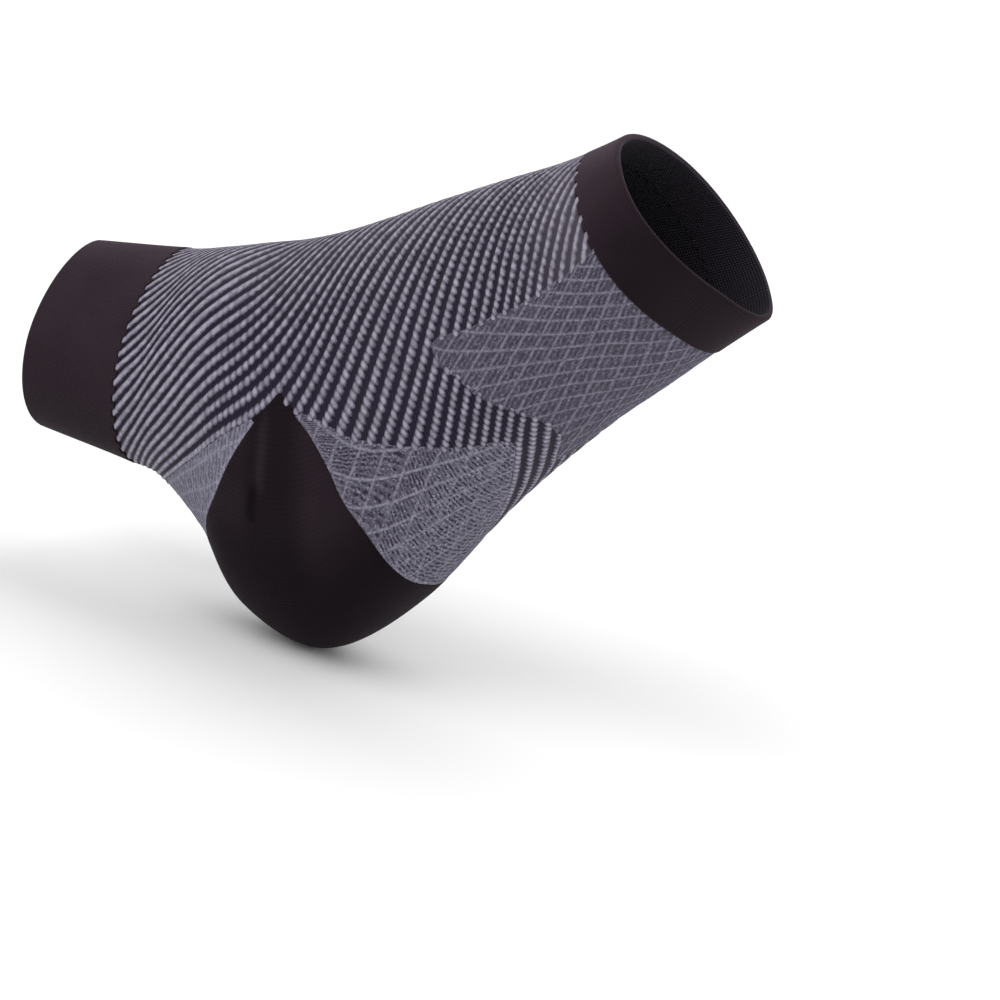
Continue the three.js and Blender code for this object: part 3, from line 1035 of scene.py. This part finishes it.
# Pale rim along the heel cup: how far from its border, how wide, and how much on and off the lines
RIM_AWAY = 0.5
RIM_HALF = 0.5
RIM_SHARE = 0.4
RIM_LINE_SHARE = 0.8


def line_of(phase, place):
    """1 along the whole numbers of phase(row, degrees), falling smoothly to 0 on both sides."""
    here = phase(place.row, place.degrees)
    onward = (phase(place.row + ROW_STEP, place.degrees) - here) / ROW_STEP
    turned = (phase(place.row, place.degrees + DEGREE_STEP) - here) / DEGREE_STEP
    rates = (onward, turned)
    off = np.abs(here - np.round(here)) / np.sqrt(slopes_product(place, rates, rates))
    return mound(off, LINE_HALF)


def lattice_line(name):
    """Function that counts the named lines to a place."""
    line = dict(zip(LINE_COLUMNS, LATTICE_LINES[name]))

    def phase(row, degrees):
        ahead = row - line["row"]
        bent = line["bend"] * np.maximum(ahead, line["bend_from"]) ** 2
        return (even_degrees(row, degrees) - line["degrees"] - line["turn"] * ahead - bent) / line["step"]
    return phase


ball_rising = lattice_line("ball_rising")
ball_falling = lattice_line("ball_falling")
front_rising = lattice_line("front_rising")
front_falling = lattice_line("front_falling")

# Ball panel: how much the falling lines show, and its short stitches between two lines
BALL_FALLING_SHARE = 0.85
BALL_COURSES = 3
BALL_BREAKS = 2
BALL_DASHES = 0.55
BALL_TONE = 0.0


def ball_lattice(place):
    line = np.maximum(line_of(ball_rising, place), BALL_FALLING_SHARE * line_of(ball_falling, place))
    courses = BALL_COURSES * ball_falling(place.row, place.degrees)
    breaks = BALL_BREAKS * ball_rising(place.row, place.degrees)
    return line, (courses, breaks, BALL_DASHES), BALL_TONE


# Front heel panel. Its lines fade and its tone gets paler over FRONT_LOW. The arcs of short stitches level
# out with the degrees as an exponential; beyond one falling line the stitches lie straight across the sole.
FRONT_RISING_SHARE = 1.5
FRONT_LOW = (128, 152)
FRONT_LOW_LOST = 0.6
FRONT_TONE = 0.15
FRONT_LOW_TONE = 0.35
FRONT_DASHES = 1.0
SOLE_LINE = 1
DASH_ROW = 6.5
ARC_DEGREES = 98.5
ARC_LEVELS = 15.5
ARC_COURSE = 0.075
ARC_BREAK = 0.11
SOLE_COURSE = 0.036
SOLE_BREAK_DEGREES = 7


def front_lattice(place):
    """Arcs and fainter lines across them; the short stitches lie along the arcs, then across the sole."""
    low = smooth_step(*FRONT_LOW, place.degrees)
    line = np.maximum(FRONT_RISING_SHARE * line_of(front_rising, place), line_of(front_falling, place))
    line = line * (1 - FRONT_LOW_LOST * low)
    on_sole = front_falling(place.row, place.degrees) > SOLE_LINE
    ahead = place.row - DASH_ROW
    level = ahead + np.exp((ARC_DEGREES - place.degrees) / ARC_LEVELS)
    courses = np.where(on_sole, ahead / SOLE_COURSE, level / ARC_COURSE)
    breaks = np.where(on_sole, place.degrees / SOLE_BREAK_DEGREES, ahead / ARC_BREAK)
    return line, (courses, breaks, FRONT_DASHES), FRONT_TONE + FRONT_LOW_TONE * low


# Rear heel panel: its falling lines go on from every second stripe
REAR_TURN = 25
REAR_STEP = 9
REAR_STRIPES = 2
REAR_RISING_SHARE = 0.35
REAR_FALLING_SHARE = 0.7
REAR_COURSE = 1.2
REAR_BREAK_DEGREES = 4
REAR_DASHES = 0.45
REAR_TONE = 0.75


def rear_rising(row, degrees):
    return (side_of(degrees) - REAR_TURN * row) / REAR_STEP


def rear_falling(row, degrees):
    return stripe_phase(Place(row, side_of(degrees))) / REAR_STRIPES


def rear_lattice(place):
    rising = REAR_RISING_SHARE * line_of(rear_rising, place)
    falling = REAR_FALLING_SHARE * line_of(rear_falling, place)
    dash = (along_mm(place.row) / REAR_COURSE, place.degrees / REAR_BREAK_DEGREES, REAR_DASHES)
    return np.maximum(rising, falling), dash, REAR_TONE


def lattice_heights(pattern):
    """Faces of a lattice panel, a little below the form, with its lines raised."""
    def heights(place, room):
        line = pattern(place)[0] * smooth_step(*LINE_FADES_IN, room)
        outer = LINE_RISE * line - PANEL_SUNK - edge_rounding(room, PANEL_EDGE_ROUNDING)
        return outer, -KNIT_WALL + INNER_LINE_RISE * line
    return heights


def lattice_marks(pattern, heel_side):
    """Marks of a lattice panel, with a pale rim along its border with the heel cup, if it has one."""
    def marks(place, room):
        line, dash, tone = pattern(place)
        rim = mound(np.abs(place.past(heel_side)) - RIM_AWAY, RIM_HALF) if heel_side else 0.0
        found = fine_marks(place)
        found["lattice"] = (line, rim * (RIM_SHARE + RIM_LINE_SHARE * line), tone)
        found["dash"] = dash
        return found
    return marks


def grid_of(rows, columns, start=0.0, end=360.0):
    """Grid of places with the listed rows; columns go all the way round unless an end is given."""
    whole = end - start >= 360
    degrees = np.linspace(start, end, columns, endpoint=not whole)
    return np.meshgrid(np.asarray(rows, float), degrees, indexing="ij")


def stations(*parts):
    """Rows in several stretches, each (from, to, steps)."""
    rows = [np.linspace(a, b, steps, endpoint=False) for a, b, steps in parts]
    return np.concatenate(rows + [[parts[-1][1]]])


# Grids that go all round, closer near the edges; the sleeve's columns run along with its stripes
SLEEVE_ROWS = stations((0.95, 1.06, 6), (1.06, 9.94, 158), (9.94, 10.05, 6))
ANKLE_ROWS = stations((0, 0.03, 5), (0.03, 0.93, 40), (0.93, 1.04, 12))
TOE_ROWS = stations((9.95, 10.07, 8), (10.07, 10.93, 24), (10.93, 11, 5))
SLEEVE_COLUMNS = 412
BAND_COLUMNS = 400
DEGREES_PER_STRIPE = 10

# Grids that cover one panel each: from row, to row, rows, from degrees, to degrees, columns
GRIDS = {
    "rear_heel_panel": (1.95, 4.75, 120, 80, 280, 330),
    "heel_cup": (3.1, 6.35, 90, 73, 287, 200),
    "front_heel_panel": (4.9, 7.75, 170, 78, 234, 260),
    "ball_panel": (7.2, 10.02, 150, 89, 242, 250),
}


def sheared_grid(rows, columns):
    """Grid whose columns run along with the stripes."""
    row, degrees = grid_of(rows, columns)
    return row, degrees - DEGREES_PER_STRIPE * stripe_value("count", row)


def panel_grid(name):
    from_row, to_row, rows, from_degrees, to_degrees, columns = GRIDS[name]
    return grid_of(np.linspace(from_row, to_row, rows), columns, from_degrees, to_degrees)


# Each piece: name, grid, room inside, heights, marks, material, and whether it goes all round
PIECES = (
    ("ankle_cuff", grid_of(ANKLE_ROWS, BAND_COLUMNS), ankle_inside,
     cuff_heights(0), cuff_marks, BLACK_FINE, True),
    ("striped_sleeve", sheared_grid(SLEEVE_ROWS, SLEEVE_COLUMNS), stripes_inside,
     stripe_heights, stripe_marks, STRIPED, True),
    ("rear_heel_panel", panel_grid("rear_heel_panel"), rear_inside,
     lattice_heights(rear_lattice), lattice_marks(rear_lattice, heel_start), LATTICE, False),
    ("heel_cup", panel_grid("heel_cup"), heel_inside,
     heel_heights, heel_marks, BLACK_FINE, False),
    ("front_heel_panel", panel_grid("front_heel_panel"), front_inside,
     lattice_heights(front_lattice), lattice_marks(front_lattice, heel_end), LATTICE, False),
    ("ball_panel", panel_grid("ball_panel"), ball_inside,
     lattice_heights(ball_lattice), lattice_marks(ball_lattice, None), LATTICE, False),
    ("toe_band", grid_of(TOE_ROWS, BAND_COLUMNS), toe_inside,
     cuff_heights(LAST_ROW), cuff_marks, BLACK_FINE, True),
)
for name, grid, inside, heights, marks, material, goes_round in PIECES:
    piece = knit_piece(name + "_knit", grid, inside, heights, marks, (material, INSIDE), goes_round)
    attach(piece, "root")
    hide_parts(name)

# Paper floor a little under the heel, FLOOR_HALF metres from its middle to each side
FLOOR_DROP = 0.4
FLOOR_HALF = 40.0
PAPER_LIGHT = (0.97, 0.97, 0.97, 1)
PAPER_SHADE = (0.95, 0.95, 0.95, 1)
PAPER_ROUGHNESS = 0.9
lowest = min(v.co.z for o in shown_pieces() for v in o.data.vertices)
floor_z = lowest - FLOOR_DROP * MM
corners = [(x * FLOOR_HALF, y * FLOOR_HALF, floor_z) for x, y in ((-1, -1), (1, -1), (1, 1), (-1, 1))]
floor_mesh = bpy.data.meshes.new("floor")
floor_mesh.from_pydata(corners, [], [(0, 1, 2, 3)])
floor = bpy.data.objects.new("floor", floor_mesh)
bpy.context.scene.collection.objects.link(floor)
paper = Nodes("floor_paper")
paper.colour(paper.mix(paper.noise("paper_clouds"), PAPER_LIGHT, PAPER_SHADE))
paper.shader.inputs["Roughness"].default_value = PAPER_ROUGHNESS
floor_mesh.materials.append(paper.material)
floor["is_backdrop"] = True

# Camera at the photo's angle: the ankle opening's centre lies at ORIGIN_PIXEL of the 1000 x 1000 image
AZIMUTH = math.radians(26)
ELEVATION = math.radians(14)
ROLL = math.radians(12)
DISTANCE = 1.1
PIXEL = 0.288 * MM
ORIGIN_PIXEL = (70, 334)
IMAGE = 1000
SENSOR = 36
NEAREST_SEEN = 0.01
back = Vector((
    math.sin(AZIMUTH) * math.cos(ELEVATION), -math.cos(AZIMUTH) * math.cos(ELEVATION), math.sin(ELEVATION),
))
level = Vector((math.cos(AZIMUTH), math.sin(AZIMUTH), 0))
upright = back.cross(level)
right = level * math.cos(ROLL) + upright * math.sin(ROLL)
up = upright * math.cos(ROLL) - level * math.sin(ROLL)
off_right = (ORIGIN_PIXEL[0] - IMAGE / 2) * PIXEL
off_up = (IMAGE / 2 - ORIGIN_PIXEL[1]) * PIXEL
lens = bpy.data.cameras.new("camera")
lens.sensor_width = SENSOR
lens.lens = SENSOR * DISTANCE / PIXEL / IMAGE
lens.clip_start = NEAREST_SEEN
camera = bpy.data.objects.new("camera", lens)
bpy.context.scene.collection.objects.link(camera)
axes = Matrix((right, up, back)).transposed().to_4x4()
camera.matrix_world = Matrix.Translation(back * DISTANCE - right * off_right - up * off_up) @ axes
bpy.context.scene.camera = camera

# Soft studio light: a white surround, and wide lamps that shine from their spots to the origin.
# A lamp: name, spot, strength.
WORLD_COLOUR = (1, 1, 1, 1)
WORLD_STRENGTH = 0.65
LAMPS = (
    ("key_lamp", (-0.5, -0.9, 1.3), 1.0),
    ("fill_lamp", (1.0, -1.0, 0.5), 0.35),
    ("back_lamp", (0.2, 0.9, 1.4), 1.0),
)
LAMP_SPREAD = math.radians(50)
world = bpy.data.worlds.new("surround")
bpy.context.scene.world = world
world.use_nodes = True
surround = world.node_tree.nodes["Background"]
surround.inputs["Color"].default_value = WORLD_COLOUR
surround.inputs["Strength"].default_value = WORLD_STRENGTH
for name, spot, strength in LAMPS:
    light = bpy.data.lights.new(name, "SUN")
    light.angle = LAMP_SPREAD
    light.energy = strength
    lamp = bpy.data.objects.new(name, light)
    lamp.location = spot
    lamp.rotation_euler = Vector(spot).to_track_quat("Z", "Y").to_euler()
    bpy.context.scene.collection.objects.link(lamp)
bpy.context.scene.view_settings.view_transform = "Standard"
